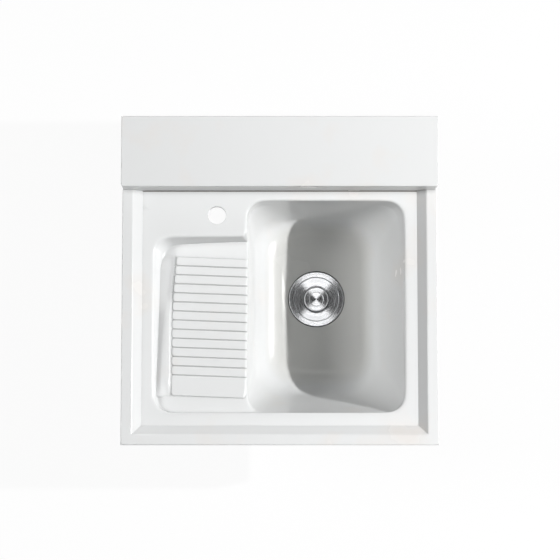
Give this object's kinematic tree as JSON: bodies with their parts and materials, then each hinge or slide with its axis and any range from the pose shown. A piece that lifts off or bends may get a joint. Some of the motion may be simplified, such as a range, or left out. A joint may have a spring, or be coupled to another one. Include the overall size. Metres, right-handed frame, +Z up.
{
  "type": "countertop laundry basin",
  "caption": "White stone countertop laundry basin with a deep bowl, a sloping ribbed washboard tray, a tap hole, a raised rim, a rear shelf and a steel basket strainer.",
  "frame": {"origin": "middle of the rear edge, on the plane where the skirt sits on the cabinet", "axes": "+X to the right as seen by the user, +Y towards the wall, +Z up"},
  "size_m": [0.6, 0.62, 0.446],
  "materials": {
    "stone": "polished",
    "steel": "spun",
    "rubber": "matte",
    "plastic": "moulded",
    "brass": "turned"
  },
  "bodies": {
    "unit": {"worktop": "stone", "basin": "stone", "left_rim": "stone", "front_rim": "stone", "right_rim": "stone", "shelf_top": "stone", "shelf_riser": "stone", "shelf_back": "stone", "shelf_left_end": "stone", "shelf_right_end": "stone", "front_skirt": "stone", "rear_skirt": "stone", "left_skirt": "stone", "right_skirt": "stone", "flange_gasket": "rubber", "strainer_cup": "steel", "lower_gasket": "rubber", "drain_housing": "plastic", "screw_nut": "brass", "centre_screw": "steel", "tail_washer": "rubber", "tailpiece": "plastic", "coupling_nut": "plastic"},
    "basket": {"basket": "steel", "basket_post": "steel"},
    "lid": {"lid": "steel", "lid_knob": "steel", "lid_seal": "rubber"}
  },
  "joints": [
    {"name": "basket_lift", "type": "slide", "parent": "unit", "child": "basket", "axis": [0, 0, 1], "range_m": [0, 0.32]},
    {"name": "lid_lift", "type": "slide", "parent": "basket", "child": "lid", "axis": [0, 0, 1], "range_m": [0, 0.29]}
  ]
}
